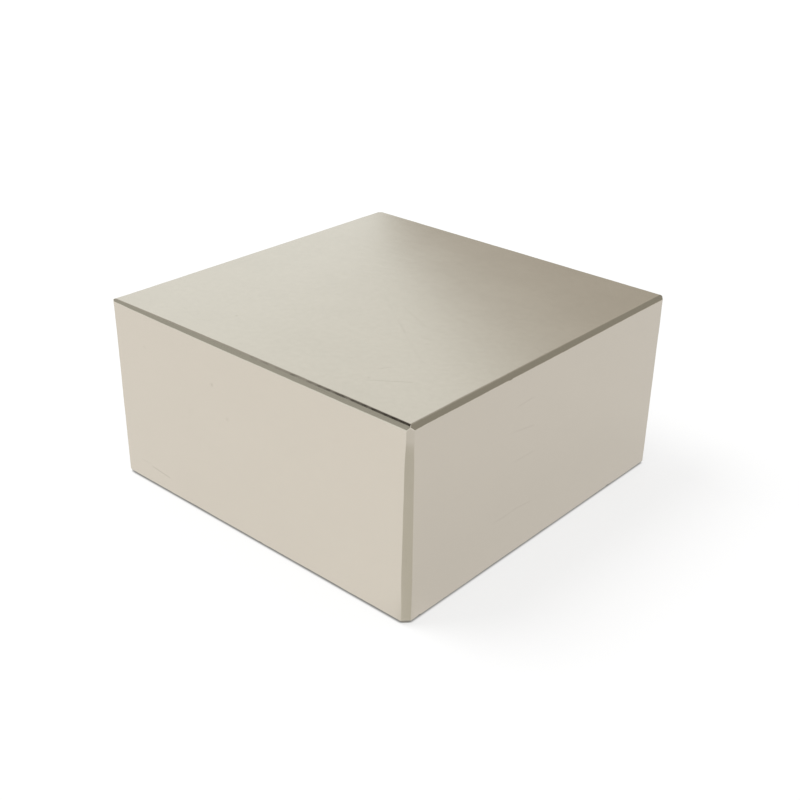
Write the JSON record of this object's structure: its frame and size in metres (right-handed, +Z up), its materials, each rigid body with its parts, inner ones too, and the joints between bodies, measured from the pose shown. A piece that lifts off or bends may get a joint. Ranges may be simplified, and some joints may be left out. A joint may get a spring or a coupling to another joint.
{
  "type": "block magnet",
  "caption": "Square nickel-plated block magnet with chamfered edges, magnetised through its thickness, that holds to steel by a flat pole face.",
  "frame": {"origin": "middle of the lower pole face, which the block stands on", "axes": "+Z up through the thickness, the direction of magnetisation, from the lower to the upper pole face; +X and +Y across the square, along its sides"},
  "size_m": [0.05, 0.05, 0.025],
  "materials": {
    "nickel_plating": "bright nickel plating over fine ground faces: warm silver, smooth and mirror-like with faint lapping marks"
  },
  "bodies": {
    "root": {"magnet_block": "nickel_plating"}
  },
  "joints": []
}
